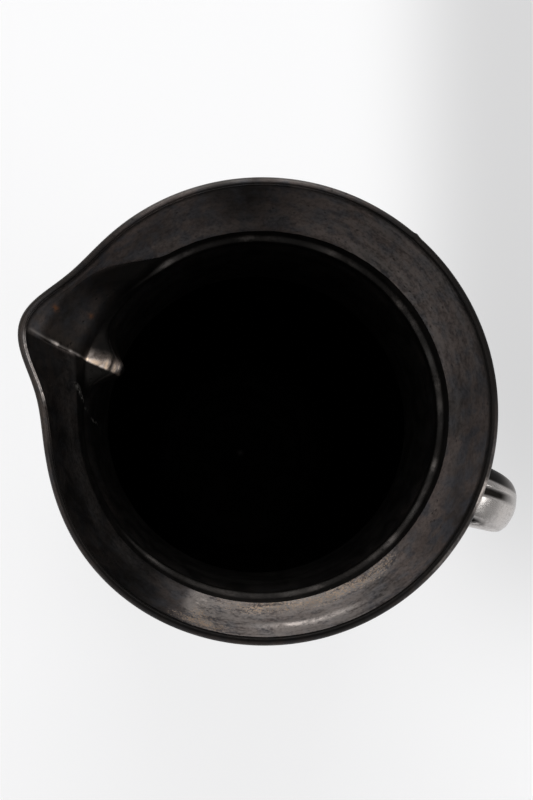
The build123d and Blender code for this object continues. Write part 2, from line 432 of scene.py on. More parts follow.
def inner_radius(s, turn, height):
    """Inside of the jug: cubics through floor, belly, shoulder, waist, throat, flare edge and lip, plus
    the spout's outline in proportion to the mouth's rise, the throat's steps and the spout's relief,
    less a faint ridge on the flare, unevenness and throwing rings."""
    f = signed(turn)
    floor = BODY_LOW.z + s.floor_thickness
    profile = cubic_profile(height, [
        (floor, s.base_radius - s.wall, 0.8),
        (s.belly_height, s.belly_radius - s.wall, 0.0),
        (BODY_HIGH.z, s.shoulder_radius - s.wall, -0.5),
        (s.waist_height, s.waist_radius - s.wall, 0.0),
        (NECK_HIGH.z, s.throat_radius - s.wall - THROAT_INSET, 0.33),
        (s.flare_edge_height, s.flare_edge_radius, 0.72),
        (MOUTH_HIGH.z, s.rim_radius - s.lip_width, 0.40)])
    spout = mouth_rise(height) ** PULL_POWER * spout_outline(s, turn)
    ridge = window(f, *RIDGE_TURNS) * bells(height, (FLARE_RIDGE,))
    plain = smooth_step((RINGS_TOP - height) / RINGS_FADE)
    calm = s.wobble * unevenness(turn, height) + s.ring_depth * plain * rings(turn, height, INNER_PITCH)
    return profile + spout + throat_steps(s, turn, height) + spout_relief(s, f, height) - ridge - calm


def round_points(turn, radius, height):
    """Points at a turn, radius and height: x is minus radius times cosine, y minus radius times
    sine, so that turn 0 looks along -X."""
    turn, radius, height = np.broadcast_arrays(turn, radius, height)
    return np.stack([-radius * np.cos(turn), -radius * np.sin(turn), height], axis=-1)


def stacked(turn, stack):
    """Points of stretches of rows, each a radius and a height, and the number of every row's stretch."""
    grids = [round_points(turn, reach, height) for reach, height in stack]
    part = np.repeat(np.arange(len(grids)), [len(grid) for grid in grids])[:, None]
    return np.concatenate(grids), part


def rows(*stretches):
    """Heights or shares in order: each stretch is start, stop and count, without its last value
    except on the final stretch."""
    parts = [np.linspace(a, b, n, endpoint=False) for a, b, n in stretches]
    return np.concatenate(parts + [[stretches[-1][1]]])


def between(count):
    """Shares between nothing and one, without both ends, one to a row."""
    return np.linspace(0.0, 1.0, count + 2)[1:-1, None]


def mesh_piece(name, points, ring=False, start=None, end=None):
    """A mesh from a grid of points whose columns close round. Rows join to the next row, and the
    last to the first where ring is set; start and end are single points that close the grid."""
    row_count, columns = points.shape[:2]
    index = np.arange(row_count * columns).reshape(row_count, columns)
    lower = index if ring else index[:-1]
    upper = np.roll(index, -1, axis=0) if ring else index[1:]
    quads = np.stack([lower, np.roll(lower, -1, axis=1), np.roll(upper, -1, axis=1), upper], axis=-1)
    corners = [quads.reshape(-1)]
    sizes = [np.full(quads.size // 4, 4)]
    places = [points.reshape(-1, 3)]
    count = row_count * columns
    for pole, row, first in ((start, index[0], True), (end, index[-1], False)):
        if pole is None:
            continue
        hub = np.full(columns, count)
        after = np.roll(row, -1)
        fan = np.stack([hub, after, row] if first else [row, after, hub], axis=-1)
        corners.append(fan.reshape(-1))
        sizes.append(np.full(columns, 3))
        places.append(np.array([pole], float))
        count += 1
    corners = np.concatenate(corners).astype(np.int32)
    sizes = np.concatenate(sizes).astype(np.int32)
    starts = np.concatenate([[0], np.cumsum(sizes)[:-1]]).astype(np.int32)
    places = np.concatenate(places).astype(np.float32)
    mesh = bpy.data.meshes.new(name)
    mesh.vertices.add(len(places))
    mesh.vertices.foreach_set("co", places.reshape(-1))
    mesh.loops.add(len(corners))
    mesh.loops.foreach_set("vertex_index", corners)
    mesh.polygons.add(len(sizes))
    mesh.polygons.foreach_set("loop_start", starts)
    mesh.polygons.foreach_set("use_smooth", np.ones(len(sizes), bool))
    mesh.update(calc_edges=True)
    if mesh.validate():
        raise RuntimeError(f"{name} has faces that Blender had to mend")
    mesh.set_sharp_from_angle(angle=SHARP_ANGLE)
    return mesh


def paint(mesh, grid, **shares):
    """Stores named shares, one per point of the grid, on the mesh; poles get nothing."""
    for name, share in shares.items():
        values = np.zeros(len(mesh.vertices), np.float32)
        flat = np.broadcast_to(np.clip(share, 0.0, 1.0), grid.shape[:2]).reshape(-1)
        values[:len(flat)] = flat
        store = mesh.attributes.new(name, "FLOAT", "POINT")
        store.data.foreach_set("value", values)


def place_piece(name, mesh, material, node):
    """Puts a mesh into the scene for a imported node, riding on the jug's one body."""
    mesh.materials.append(material)
    piece = bpy.data.objects.new(name, mesh)
    bpy.context.scene.collection.objects.link(piece)
    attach(piece, "root")
    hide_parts(node)
    return piece


class Weave:
    """Short way to add shader nodes to a material or a world and join them."""

    def __init__(self, owner):
        owner.use_nodes = True
        self.tree = owner.node_tree
        self.tree.nodes.clear()

    def add(self, kind, settings=None, **sockets):
        """A node of that kind; settings are its own options, sockets its values or links."""
        made = self.tree.nodes.new(kind)
        for key, value in (settings or {}).items():
            setattr(made, key, value)
        for key, value in sockets.items():
            self.feed(made.inputs[key.replace("_", " ")], value)
        return made

    def feed(self, socket, value):
        """Joins a link to a socket, or sets the socket's own value."""
        if isinstance(value, bpy.types.NodeSocket):
            self.tree.links.new(value, socket)
        elif socket.type == "RGBA" and len(value) == 3:
            socket.default_value = (*value, 1.0)
        else:
            socket.default_value = value

    def noise(self, where, scale, detail, roughness, distortion=0.0):
        """Cloudy noise over coordinates."""
        made = self.add("ShaderNodeTexNoise", Vector=where, Scale=scale, Detail=detail,
                        Roughness=roughness, Distortion=distortion)
        return made.outputs["Fac"]

    def stretch(self, where, scales):
        """Coordinates with each axis times its own scale."""
        made = self.add("ShaderNodeVectorMath", {"operation": "MULTIPLY"})
        self.feed(made.inputs[0], where)
        self.feed(made.inputs[1], scales)
        return made.outputs[0]

    def span(self, value, low, high, start=0.0, stop=1.0):
        """A value from low to high mapped to start to stop, and held at both ends."""
        made = self.add("ShaderNodeMapRange", {"interpolation_type": "SMOOTHSTEP"},
                        Value=value, From_Min=low, From_Max=high, To_Min=start, To_Max=stop)
        return made.outputs["Result"]

    def reckon(self, kind, first, *others):
        """Values put together one after another by that kind of sum."""
        for other in others:
            made = self.add("ShaderNodeMath", {"operation": kind})
            self.feed(made.inputs[0], first)
            self.feed(made.inputs[1], other)
            first = made.outputs[0]
        return first

    def plus(self, *values):
        """Sum of the values."""
        return self.reckon("ADD", *values)

    def less(self, *values):
        """The first value less the others."""
        return self.reckon("SUBTRACT", *values)

    def times(self, *values):
        """Product of the values."""
        return self.reckon("MULTIPLY", *values)

    def most(self, *values):
        """Greatest of the values."""
        return self.reckon("MAXIMUM", *values)

    def least(self, *values):
        """Smallest of the values."""
        return self.reckon("MINIMUM", *values)

    def weigh(self, first, second, share):
        """A share of the second value, and of the first what is left."""
        return self.plus(self.times(first, 1.0 - share), self.times(second, share))

    def blend(self, share, under, over):
        """Colour over laid on colour under by a share."""
        made = self.add("ShaderNodeMix", {"data_type": "RGBA"})
        self.feed(made.inputs[0], share)
        self.feed(made.inputs[6], under)
        self.feed(made.inputs[7], over)
        return made.outputs[2]

    def share(self, name):
        """A share stored on the mesh."""
        return self.add("ShaderNodeAttribute", {"attribute_name": name}).outputs["Fac"]


# Height up to which the foot's clay stays bare, and how far and how softly that line wanders
CLAY_LINE = 0.0030
CLAY_WANDER = 0.004
CLAY_SOFT = 0.0003


def glaze_material(name, g):
    """Black lustre glaze in layers, each laid on those below by its own share: brown clouds on black,
    steel-blue blots, dark grain, near-black painted shade, a silvery painted sheen, speckled bronze
    that is real wear on seams and foot and painted highlight on the flare, painted silver highlights,
    painted bronze highlights streaked along the spout, iron specks, a pale scratch, fine pits, and
    bare clay below the clay line."""
    material = bpy.data.materials.new(name)
    w = Weave(material)
    where = w.add("ShaderNodeTexCoord").outputs["Object"]
    upright = w.stretch(where, (1.0, 1.0, 5.0))
    along_spout = w.stretch(where, (1.0, 0.15, 0.40))
    clouds = w.noise(where, scale=48.0, detail=4.0, roughness=0.55, distortion=0.3)
    blots = w.noise(where, scale=190.0, detail=2.0, roughness=0.5, distortion=0.3)
    patches = w.noise(where, scale=120.0, detail=6.0, roughness=0.62, distortion=0.5)
    grain = w.noise(where, scale=800.0, detail=3.0, roughness=0.6)
    specks = w.noise(where, scale=1500.0, detail=2.0, roughness=0.6)
    streaks = w.noise(upright, scale=70.0, detail=6.0, roughness=0.62, distortion=0.4)
    strokes = w.noise(along_spout, scale=1100.0, detail=3.0, roughness=0.6)
    cells = w.add("ShaderNodeTexVoronoi", {"feature": "F1"}, Vector=where, Scale=300.0)

    # Shares from the meshes: inside is painted shade, worn is real wear and also painted highlight on the
    # flare, and rubbed is painted highlight
    inside = w.share("inside")
    worn = w.share("wear")
    rubbed = w.share("gilt")
    mixed = w.weigh(patches, grain, 0.5)
    ragged = w.span(w.weigh(mixed, specks, 0.55), 0.36, 0.64)
    # Painted sheen, broken up by streaky noise
    bloom = w.times(w.share("lustre"), w.span(w.weigh(streaks, grain, 0.35), 0.38, 0.59, 0.08, 1.0))
    # Speckled bronze: real wear on seams, rings and foot, painted highlight on the flare's lit side
    bronze = w.times(w.span(w.plus(ragged, worn), 0.70, 1.30), w.span(worn, 0.0, 0.10))
    # Painted highlights: silver, and bronze streaked along the spout
    silver = w.times(w.share("silver"), w.span(mixed, 0.34, 0.56, 0.75, 1.0))
    brushed = w.plus(strokes, w.times(rubbed, 0.35))
    gilt = w.times(rubbed, w.span(brushed, 0.62, 0.98, 0.15, 1.0))
    rust = w.times(w.share("rust"), w.span(grain, 0.30, 0.55))
    scuff = w.times(w.share("scuff"), w.span(grain, 0.44, 0.58))
    pit = w.times(w.span(cells.outputs["Distance"], 0.08, 0.20, 1.0, 0.0),
                  w.span(clouds, 0.48, 0.58), w.span(rubbed, 0.05, 0.30, 1.0, 0.0))
    height = w.add("ShaderNodeSeparateXYZ", Vector=where).outputs["Z"]
    line = w.plus(w.times(clouds, CLAY_WANDER), CLAY_LINE - 0.5 * CLAY_WANDER)
    bare = w.span(w.less(line, height), -CLAY_SOFT, CLAY_SOFT)

    base = w.blend(w.span(clouds, 0.30, 0.62), tuple(g.black), tuple(g.brown))
    layers = ((w.span(blots, 0.40, 0.68, 0.0, 0.85), g.steel),
              (w.span(grain, 0.30, 0.60, 0.35, 0.0), g.inside),
              (inside, g.inside), (bloom, g.lustre), (bronze, g.bronze), (silver, g.silver),
              (gilt, g.bronze), (rust, g.rust), (scuff, g.scuff), (w.times(pit, 0.6), g.inside),
              (bare, g.clay))
    for share, over in layers:
        base = w.blend(share, base, tuple(over))

    rough = w.plus(w.span(patches, 0.32, 0.70, g.smooth, g.rough), w.times(inside, 0.18))
    rough = w.most(rough, w.times(w.most(bloom, bronze), g.bloom))
    rough = w.least(rough, w.span(silver, 0.0, 1.0, 0.8, g.bright), w.span(gilt, 0.0, 1.0, 0.8, g.gilded))
    rough = w.most(rough, w.times(bare, 0.85))
    metal = w.span(w.most(silver, gilt, bronze, bloom, inside), 0.0, 1.0, g.metal, 1.0)
    metal = w.times(metal, w.span(bare, 0.0, 1.0, 1.0, 0.0))
    relief = w.less(w.plus(patches, w.times(grain, 0.30)), pit)
    bump = w.add("ShaderNodeBump", Strength=0.5, Distance=0.00015, Height=relief)
    shader = w.add("ShaderNodeBsdfPrincipled", Base_Color=base, Metallic=metal, Roughness=rough,
                   Normal=bump.outputs["Normal"])
    w.add("ShaderNodeOutputMaterial", Surface=shader.outputs["BSDF"])
    return material


def finish(name):
    """The glaze or the slip by name, made once; only the foot reaches down to the clay line."""
    made = bpy.data.materials.get(name)
    if made is None:
        made = glaze_material(name, bpy.context.scene.jug_glaze)
    return made


# Small nib on the rim: how far it stands out, its turn and its spread
RIM_NIB = (0.0004, -1.955, 0.012)

# Line incised in the lip, as shares of the way across, and the lip's fall towards the flare
LINE_PLACE = 0.62
LINE_SPREAD = 0.26
LIP_FALL = 0.0003
LIP_FALL_FROM = 0.228

# Heights that part the flare's rows into four stretches, with the closest rows at its lower edge
FLARE_HIGH = 0.2306
EDGE_HIGH = 0.2146
EDGE_LOW = 0.2122

# Turn over which the spout's droop dies away
DROOP_SPREAD = 0.24


class JUG_OT_mouth(bpy.types.Operator):
    """Flared mouth with its lip, incised line, throat edge and pulled spout"""

    bl_idname = "jug.mouth"
    bl_label = "Mouth"

    def execute(self, context):
        """The profile goes up the outside, round the lip and its line, down the flare and back
        under the seam; each row is worked out for all turns at once."""
        s = context.scene.jug_shape
        turn = turns(660, 0.68)
        f = signed(turn)
        rim = MOUTH_HIGH.z
        low = MOUTH_LOW.z
        lip_start = rim - s.lip_round
        out_height = rows((low, lip_start, 34))[:, None]
        out_reach = outer_radius(s, turn, out_height)
        lip = outer_radius(s, turn, lip_start) + bells(f, (RIM_NIB,))
        bend = np.linspace(0.0, 0.5 * math.pi, 11)[1:, None]
        lip_reach = lip - s.lip_round * (1.0 - np.cos(bend))
        lip_height = lip_start + s.lip_round * np.sin(bend)
        across = np.linspace(0.0, 1.0, 15)[1:, None]
        land_reach = lip_reach[-1] + across * (inner_radius(s, turn, rim) - lip_reach[-1])
        land_height = rim - s.lip_line * bell(across, LINE_PLACE, LINE_SPREAD) - LIP_FALL * across
        fall = rows((rim, FLARE_HIGH, 14), (FLARE_HIGH, EDGE_HIGH, 30), (EDGE_HIGH, EDGE_LOW, 16),
                    (EDGE_LOW, low, 26))[1:, None]
        in_reach = inner_radius(s, turn, fall)
        in_height = fall - LIP_FALL * smooth_step((fall - LIP_FALL_FROM) / (rim - LIP_FALL_FROM))
        under_reach = in_reach[-1] + between(2) * (out_reach[0] - in_reach[-1])
        points, part = stacked(turn, (
            (out_reach, out_height), (lip_reach, lip_height), (land_reach, land_height),
            (in_reach, in_height), (under_reach, low)))
        height = points[..., 2].copy()
        sink = s.spout_droop * bell(f, 0.0, DROOP_SPREAD) + s.wobble * unevenness(turn, 0.0)
        points[..., 2] -= sink * mouth_rise(height) ** 2
        mesh = mesh_piece("mouth", points, ring=True)
        paint(mesh, points, **mouth_paint(s, points, height, turn, part, lip))
        place_piece("mouth_shell", mesh, finish("black_lustre"), "mouth")
        return {"FINISHED"}


# Painted shade on the flare: strength, turn and spread of dusky stretches; the flank beyond the
# crease, and the hollow beside it
PAINTED_SHADE = ((0.46, -1.20, 0.26), (0.25, -2.80, 0.30), (0.15, 2.85, 0.30))
FLANK_DARK = 0.83
FLANK_SOFT = 0.025
FLANK_END = 1.62
FLANK_FADE = 0.40
HOLLOW_DARK = 0.30

# Painted shade below the flare's edge: how softly it starts, and the lift of it in the spout
DEEP_SOFT = 0.0012
DEEP_SOFT_CLIMB = 0.30
DEEP_STEP = 0.004
LIFT = 0.50

# Painted silvery sheen on the flare: strength, turn and spread of pale stretches, and the lit low
# side
PAINTED_SHEEN = ((0.15, -2.05, 0.52), (0.03, -0.80, 0.25))
LOW_SIDE_START = 1.49
LOW_SIDE_RISE = 0.13
LOW_SIDE_STOP = 2.85
LOW_SIDE_FALL = 0.80
STREAK_TURNS = (1.80, 2.42, 0.22)
EDGE_HIGHLIGHT_TURNS = (1.56, 2.75, 0.30)

# Painted glints along the crease, as strength, reach and spread, and the crease's bright heights
CREASE_GLINTS = ((1.0, 0.0757, 0.0016), (0.5, 0.0699, 0.0010), (0.5, 0.0676, 0.0008))
TIP_GLINT = (0.25, 0.0820, 0.0025)
CREASE_BRIGHT = (0.2075, 0.2350, 0.0040)

# Iron specks: strength, x, y and size
RUST_SPECKS = ((0.6, -0.0790, 0.0095, 0.0009), (0.3, -0.0678, 0.0126, 0.0008))

# Stretches of the lip that get painted highlights and painted shade, as start, stop and softness in
# turns from the spout
LIT = (-1.80, -0.35, 0.45)
DIM = (-2.95, -1.70, 0.30)
SPOUT_SIDE = (-0.25, 0.60, 0.20)
SPOUT_TOP = (-0.75, 0.02, 0.20)
BY_HANDLE = (3.00, 3.18, 0.05)
ROUND_HANDLE = (2.62, 3.38, 0.12)
BRIGHT_RIM = (0.00, 0.34, 0.08)


def mouth_paint(s, points, height, turn, part, lip):
    """Shares of each finish on the mouth: the flare's on its inside and the lip's on the lip, with a
    painted highlight on the inner edge of the spout's rim over both. part counts outside, lip, lip's
    land, inside and seam; lip is the lip's outside radius."""
    inner = part == 3
    on_lip = (part == 1) | (part == 2)
    across = (lip - np.hypot(points[..., 0], points[..., 1])) / s.lip_width
    patchy = unevenness(9.0 * turn, 0.2)
    flare = flare_shares(s, points, height, turn, patchy)
    rim = lip_shares(across, turn, patchy)
    # Painted highlight on the inner edge of the spout's rim, which also lifts the painted shade there
    edge = on_lip * smooth_step((across - 0.64) / 0.16) + inner * smooth_step((height - 0.2347) / 0.0005)
    edge = edge * window(signed(turn), *BRIGHT_RIM)
    shares = {name: inner * share + on_lip * rim.get(name, 0.0) for name, share in flare.items()}
    shares["lustre"] = shares["lustre"] + edge * (0.45 + 0.55 * patchy)
    shares["silver"] = shares["silver"] + 0.30 * edge
    shares["inside"] = shares["inside"] * (1.0 - np.clip(edge, 0.0, 1.0))
    return shares


def throat_shade(s, turn, height, patchy):
    """Painted shade below the flare's edge, as a smooth step over the depth that is softer where the
    edge climbs, a little patchy, and lifted in the hollow of the spout."""
    depth = flare_edge(s, turn) - height
    deep = smooth_step(depth / (DEEP_SOFT + DEEP_SOFT_CLIMB * edge_climb(turn)) + 0.2)
    deep = deep * (0.99 - 0.05 * patchy + 0.04 * smooth_step((depth - DEEP_STEP) / DEEP_STEP))
    return deep * (1.0 - LIFT * bell(signed(turn), -0.16, 0.16) * hump(height, 0.2060, 0.2420))


def flare_shares(s, points, height, turn, patchy):
    """Shares of each finish inside the mouth, as bells, steps and windows over turn and height, and
    along the crease over the reach from the axis: painted shade, painted sheen and painted
    highlights, with real iron specks and a scratch."""
    f = signed(turn)
    edge = flare_edge(s, turn)
    beside = f - crease_turn(height)
    reach = -points[..., 0]
    deep = throat_shade(s, turn, height, patchy)
    # Painted shade: below the flare's edge, on the flank beyond the crease, in the hollow and in dusky
    # stretches
    flank = FLANK_DARK * smooth_step(beside / FLANK_SOFT) * smooth_step((FLANK_END - f) / FLANK_FADE)
    hollow = HOLLOW_DARK * bell(f, -0.23, 0.10) * hump(height, 0.2050, 0.2360)
    dark = np.maximum(np.maximum(deep, bells(f, PAINTED_SHADE)), np.maximum(flank, hollow))

    # Painted highlights and glints on the spout's patch, along the crease and beside it
    sill = spout_highlight(points)
    glints = bells(reach, CREASE_GLINTS)
    crease = bell(beside, 0.0, np.where(beside < 0.0, 0.0060, 0.0035)) * window(height, *CREASE_BRIGHT)
    crease = crease * (0.30 + 0.70 * glints + bells(reach, (TIP_GLINT,)))
    haze = bell(beside, -0.035, 0.035) * hump(height, 0.2040, 0.2330)

    # Painted sheen and highlights on the lit low side: a streak, a band by the edge, a glint and gold
    # specks
    low_side = smooth_step((f - LOW_SIDE_START) / LOW_SIDE_RISE)
    low_side = low_side * smooth_step((LOW_SIDE_STOP - f) / LOW_SIDE_FALL)
    streak = window(f, *STREAK_TURNS) * bell(height, 0.2282, 0.0020)
    edge_highlight = window(f, *EDGE_HIGHLIGHT_TURNS) * bell(height, edge + 0.0028, 0.0026)
    glint = bell(f, 1.59, 0.055) * bell(height, 0.2205, 0.0060)
    gold_glints = bell(f, 1.61, 0.10) * bell(height, 0.2315, 0.0024)
    gold_glints = gold_glints + 0.6 * bell(f, 1.61, 0.05) * bell(height, 0.2260, 0.0050)
    pale = bells(f, PAINTED_SHEEN) + 0.03 * bell(height, edge + 0.003, 0.004)
    bloom = 0.31 * low_side + 0.68 * streak + 0.40 * edge_highlight + 0.90 * glint + pale

    # Painted sheen and highlight on the ledge in the throat
    ledge = ledge_height(turn) + 0.0006
    on_ledge = beyond_spout(turn, LEDGE_FADE)
    ledge_sheen = on_ledge * bell(height, ledge, 0.0009) * unevenness(13.0 * turn, 0.3) ** 3
    ledge_shine = on_ledge * bell(height, ledge, 0.0008) * unevenness(7.0 * turn, 0.1) ** 3
    lustre = (1.0 - deep) * bloom + glints * bell(beside, 0.0, 0.006) + sill * bell(reach, 0.0605, 0.0040)
    # Painted shade near the lip, away from the lit low side
    shade_near_lip = 0.7 * smooth_step((height - 0.2325) / 0.0025) * (1.0 - low_side)
    # On the flare the bronze wear share is painted highlight and inside is painted shade; the others but
    # rust and scuff are painted highlights and sheen
    return {
        "wear": (1.0 - deep) * (0.40 * edge_highlight + 0.52 * gold_glints),
        "silver": 0.50 * crease + 0.08 * ledge_shine * (1.0 - low_side),
        "gilt": PATCH_HIGHLIGHT * sill + 0.50 * crease + 0.12 * haze,
        "lustre": lustre + 0.17 * ledge_sheen * (1.0 - 0.8 * low_side),
        "inside": np.maximum(dark * (1.0 - np.clip(sill + crease, 0.0, 1.0)), shade_near_lip),
        "rust": sum(share * speck(points, x, y, size) for share, x, y, size in RUST_SPECKS),
        "scuff": scratch(f, height),
    }


def lip_shares(across, turn, patchy):
    """Shares of each finish on the lip, as windows over the turn: its outer roll and its inner land
    part at a smooth step across it. Painted shade darkens its dim stretches, and painted highlights
    and sheen brighten its lit stretches, the spout's side and the stretch by the handle."""
    f = signed(turn)
    land = smooth_step((across - 0.38) / 0.14)
    roll = 1.0 - land
    lit = window(f, *LIT)
    dim = window(f, *DIM)
    spout_side = window(f, *SPOUT_SIDE)
    spout_top = window(f, *SPOUT_TOP)
    by_handle = window(turn % TAU, *BY_HANDLE)
    round_handle = window(turn % TAU, *ROUND_HANDLE)
    # Painted shade on the roll and the land, lighter where the lip is lit
    roll_dark = 0.64 + 0.04 * lit + 0.34 * dim + 0.20 * spout_top + 0.16 * spout_side
    land_dark = 0.93 - 0.25 * lit - 0.30 * spout_side
    # Painted highlights and sheen on the roll
    roll_glint = 0.04 + 0.11 * spout_side + 0.06 * lit + 0.06 * round_handle
    roll_sheen = 0.22 * round_handle * patchy + 0.90 * by_handle * (0.5 + 0.5 * patchy)
    return {
        "silver": roll * 0.10 * lit * patchy,
        "gilt": roll * roll_glint + 0.08 * land * spout_side,
        "lustre": roll * roll_sheen,
        "inside": roll * roll_dark + land * land_dark,
    }


def speck(points, x, y, size):
    """Bell over the distance, seen from above, to a speck."""
    return np.exp(-((points[..., 0] - x) ** 2 + (points[..., 1] - y) ** 2) / size**2)


# Scratch below the spout: its first turn, the turn it covers, its first height, how far it falls
# evenly and by the square of the way, and its width; its broken end is strength, place and spread
SCRATCH_TURN = 0.161
SCRATCH_SPAN = 0.207
SCRATCH_HEIGHT = 0.2140
SCRATCH_FALL = 0.0105
SCRATCH_BEND = 0.0102
SCRATCH_WIDTH = 0.0013
SCRATCH_END = ((0.3, 0.64, 0.03), (0.6, 0.93, 0.07))


def scratch(f, height):
    """A thin broken line that runs down the spout's far flank as it turns away from the spout: a bell
    over height round a parabola of the way along it."""
    along = (f - SCRATCH_TURN) / SCRATCH_SPAN
    line = SCRATCH_HEIGHT - SCRATCH_FALL * along - SCRATCH_BEND * along * along
    whole = window(along, 0.0, 0.52, 0.12) * (0.5 + 0.5 * bell(along, 0.36, 0.15))
    return bell(height, line, SCRATCH_WIDTH) * (whole + bells(along, SCRATCH_END))


# Painted highlight where the spout runs into the throat: its share of streaked bronze, reaches of
# its ends from the axis and of the crack in it, its half widths and the slant of its middle line, and
# the heights that it covers
PATCH_HIGHLIGHT = 0.95
PATCH_START = 0.0655
PATCH_LENGTH = 0.0130
PATCH_OUTER = 0.0665
PATCH_OUTER_FADE = 0.0020
PATCH_INNER = 0.0519
PATCH_INNER_FADE = 0.0010
PATCH_HALF = 0.0005
PATCH_WIDENING = 0.0017
PATCH_SIDE = 0.0017
PATCH_SLANT = 0.0010
PATCH_SHARP = 0.0008
VEIL_SHARE = 0.42
VEIL_WIDTH = 0.0055
CRACK_REACH = 0.0561
CRACK_WIDTH = 0.0005
CRACK_FAR = 0.0556
PATCH_HEIGHTS = (0.1985, 0.2125, 0.0020)


def spout_highlight(points):
    """Wedge of painted highlight where the spout runs into the throat, seen from above: it widens
    inwards, has a sharp side towards -Y, a soft one with a veil towards +Y, and a dark crack near its
    inner end, past which it is dimmer."""
    reach = -points[..., 0]
    along = np.clip((PATCH_START - reach) / PATCH_LENGTH, 0.0, 1.0)
    half = PATCH_HALF + PATCH_WIDENING * along
    over = points[..., 1] + PATCH_SIDE - PATCH_SLANT * along
    sharp = smooth_step((over + half) / PATCH_SHARP + 0.5)
    core = 1.0 - smooth_step(over / (2.4 * half))
    veil = VEIL_SHARE * (1.0 - smooth_step(over / VEIL_WIDTH))
    ends = smooth_step((PATCH_OUTER - reach) / PATCH_OUTER_FADE)
    ends = ends * smooth_step((reach - PATCH_INNER) / PATCH_INNER_FADE)
    crack = 1.0 - 0.95 * bell(reach, CRACK_REACH, CRACK_WIDTH)
    dimmer = 0.70 + 0.30 * smooth_step((reach - CRACK_FAR) / 0.0010)
    return sharp * np.maximum(core, veil) * ends * window(points[..., 2], *PATCH_HEIGHTS) * crack * dimmer


# Neck: height above which its rows lie closer, and how its painted black shade eases towards the
# mouth
NECK_ROWS_CLOSE = 0.2010
NECK_EASE = 0.12
NECK_EASE_FROM = 0.1960
NECK_EASE_SPAN = 0.0060

# Bronze wear: strength on the neck's and the body's seams, on throwing rings and on slip beads
SEAM_WEAR = 0.20
RING_WEAR = 0.09
BEAD_WEAR = 0.22


class JUG_OT_neck(bpy.types.Operator):
    """Concave neck with the ledge that shows in the throat"""

    bl_idname = "jug.neck"
    bl_label = "Neck"

    def execute(self, context):
        """A closed ring: up the outside, across the top seam, down the inside, back underneath."""
        s = context.scene.jug_shape
        turn = turns(480)
        low = NECK_LOW.z
        high = NECK_HIGH.z
        out_height = rows((low, high, 44))[:, None]
        out_reach = outer_radius(s, turn, out_height)
        in_height = rows((high, NECK_ROWS_CLOSE, 16), (NECK_ROWS_CLOSE, low, 40))[:, None]
        in_reach = inner_radius(s, turn, in_height)
        top_reach = out_reach[-1] + between(2) * (in_reach[0] - out_reach[-1])
        base_reach = in_reach[-1] + between(2) * (out_reach[0] - in_reach[-1])
        points, part = stacked(turn, (
            (out_reach, out_height), (top_reach, high), (in_reach, in_height), (base_reach, low)))
        outer = part == 0
        inner = part == 2
        height = points[..., 2]
        sill = spout_highlight(points)
        ease = NECK_EASE * smooth_step((height - NECK_EASE_FROM) / NECK_EASE_SPAN)
        wear = SEAM_WEAR * (bell(height, low, 0.003) + bell(height, high, 0.003))
        mesh = mesh_piece("neck", points, ring=True)
        # Inside the neck: painted highlight on the spout's patch and painted shade elsewhere; real wear
        # outside
        paint(mesh, points, wear=outer * wear, gilt=inner * PATCH_HIGHLIGHT * sill,
              inside=inner * (1.0 - sill - ease), scuff=inner * scratch(signed(turn), height))
        place_piece("neck_shell", mesh, finish("black_lustre"), "neck")
        return {"FINISHED"}


# Dish of the body's floor: its height, the share of the radius that it rounds, and its rings
DISH = 0.004
DISH_ROUND = 0.22
FLOOR_RING = 0.0003
FLOOR_PITCH = 0.008


class JUG_OT_body(bpy.types.Operator):
    """Ovoid body with its floor"""

    bl_idname = "jug.body"
    bl_label = "Body"

    def execute(self, context):
        """From the middle of the underside out and up the outside, over the seam, down the inside
        and across the floor, which a smooth step dishes and a sine rings, to its middle."""
        s = context.scene.jug_shape
        turn = turns(360, 0.0)
        low = BODY_LOW.z
        high = BODY_HIGH.z
        floor = low + s.floor_thickness
        out_height = rows((low, high, 96))[:, None]
        out_reach = outer_radius(s, turn, out_height)
        base_reach = between(10) * out_reach[0]
        in_height = rows((high, floor + DISH, 64))[:, None]
        in_reach = inner_radius(s, turn, in_height)
        seam_reach = out_reach[-1] + between(2) * (in_reach[0] - out_reach[-1])
        inward = between(20)
        floor_reach = in_reach[-1] * (1.0 - inward)
        floor_height = floor + DISH * (1.0 - smooth_step(inward / DISH_ROUND)) * (1.0 - inward)
        floor_height = floor_height + FLOOR_RING * np.sin(TAU * floor_reach / FLOOR_PITCH)
        points, part = stacked(turn, (
            (base_reach, low), (out_reach, out_height), (seam_reach, high), (in_reach, in_height),
            (floor_reach, floor_height)))
        height = points[..., 2]
        ring = 0.5 + 0.5 * rings(turn, height, OUTER_PITCH)
        wear = SEAM_WEAR * bell(height, high, 0.004)
        wear = wear + RING_WEAR * ring**3 * unevenness(turn, 3.0 * height)
        mesh = mesh_piece("body", points, start=(0.0, 0.0, low), end=(0.0, 0.0, floor))
        # The body's inside is painted near-black as shade; the outside gets real wear
        paint(mesh, points, wear=(part == 1) * wear, inside=1.0 * (part >= 3))
        place_piece("body_shell", mesh, finish("black_lustre"), "body")
        return {"FINISHED"}


# Foot ring: rounding of its lower edges, and the height of its worn band
FOOT_CORNER = 0.0012
FOOT_BAND = 0.0045


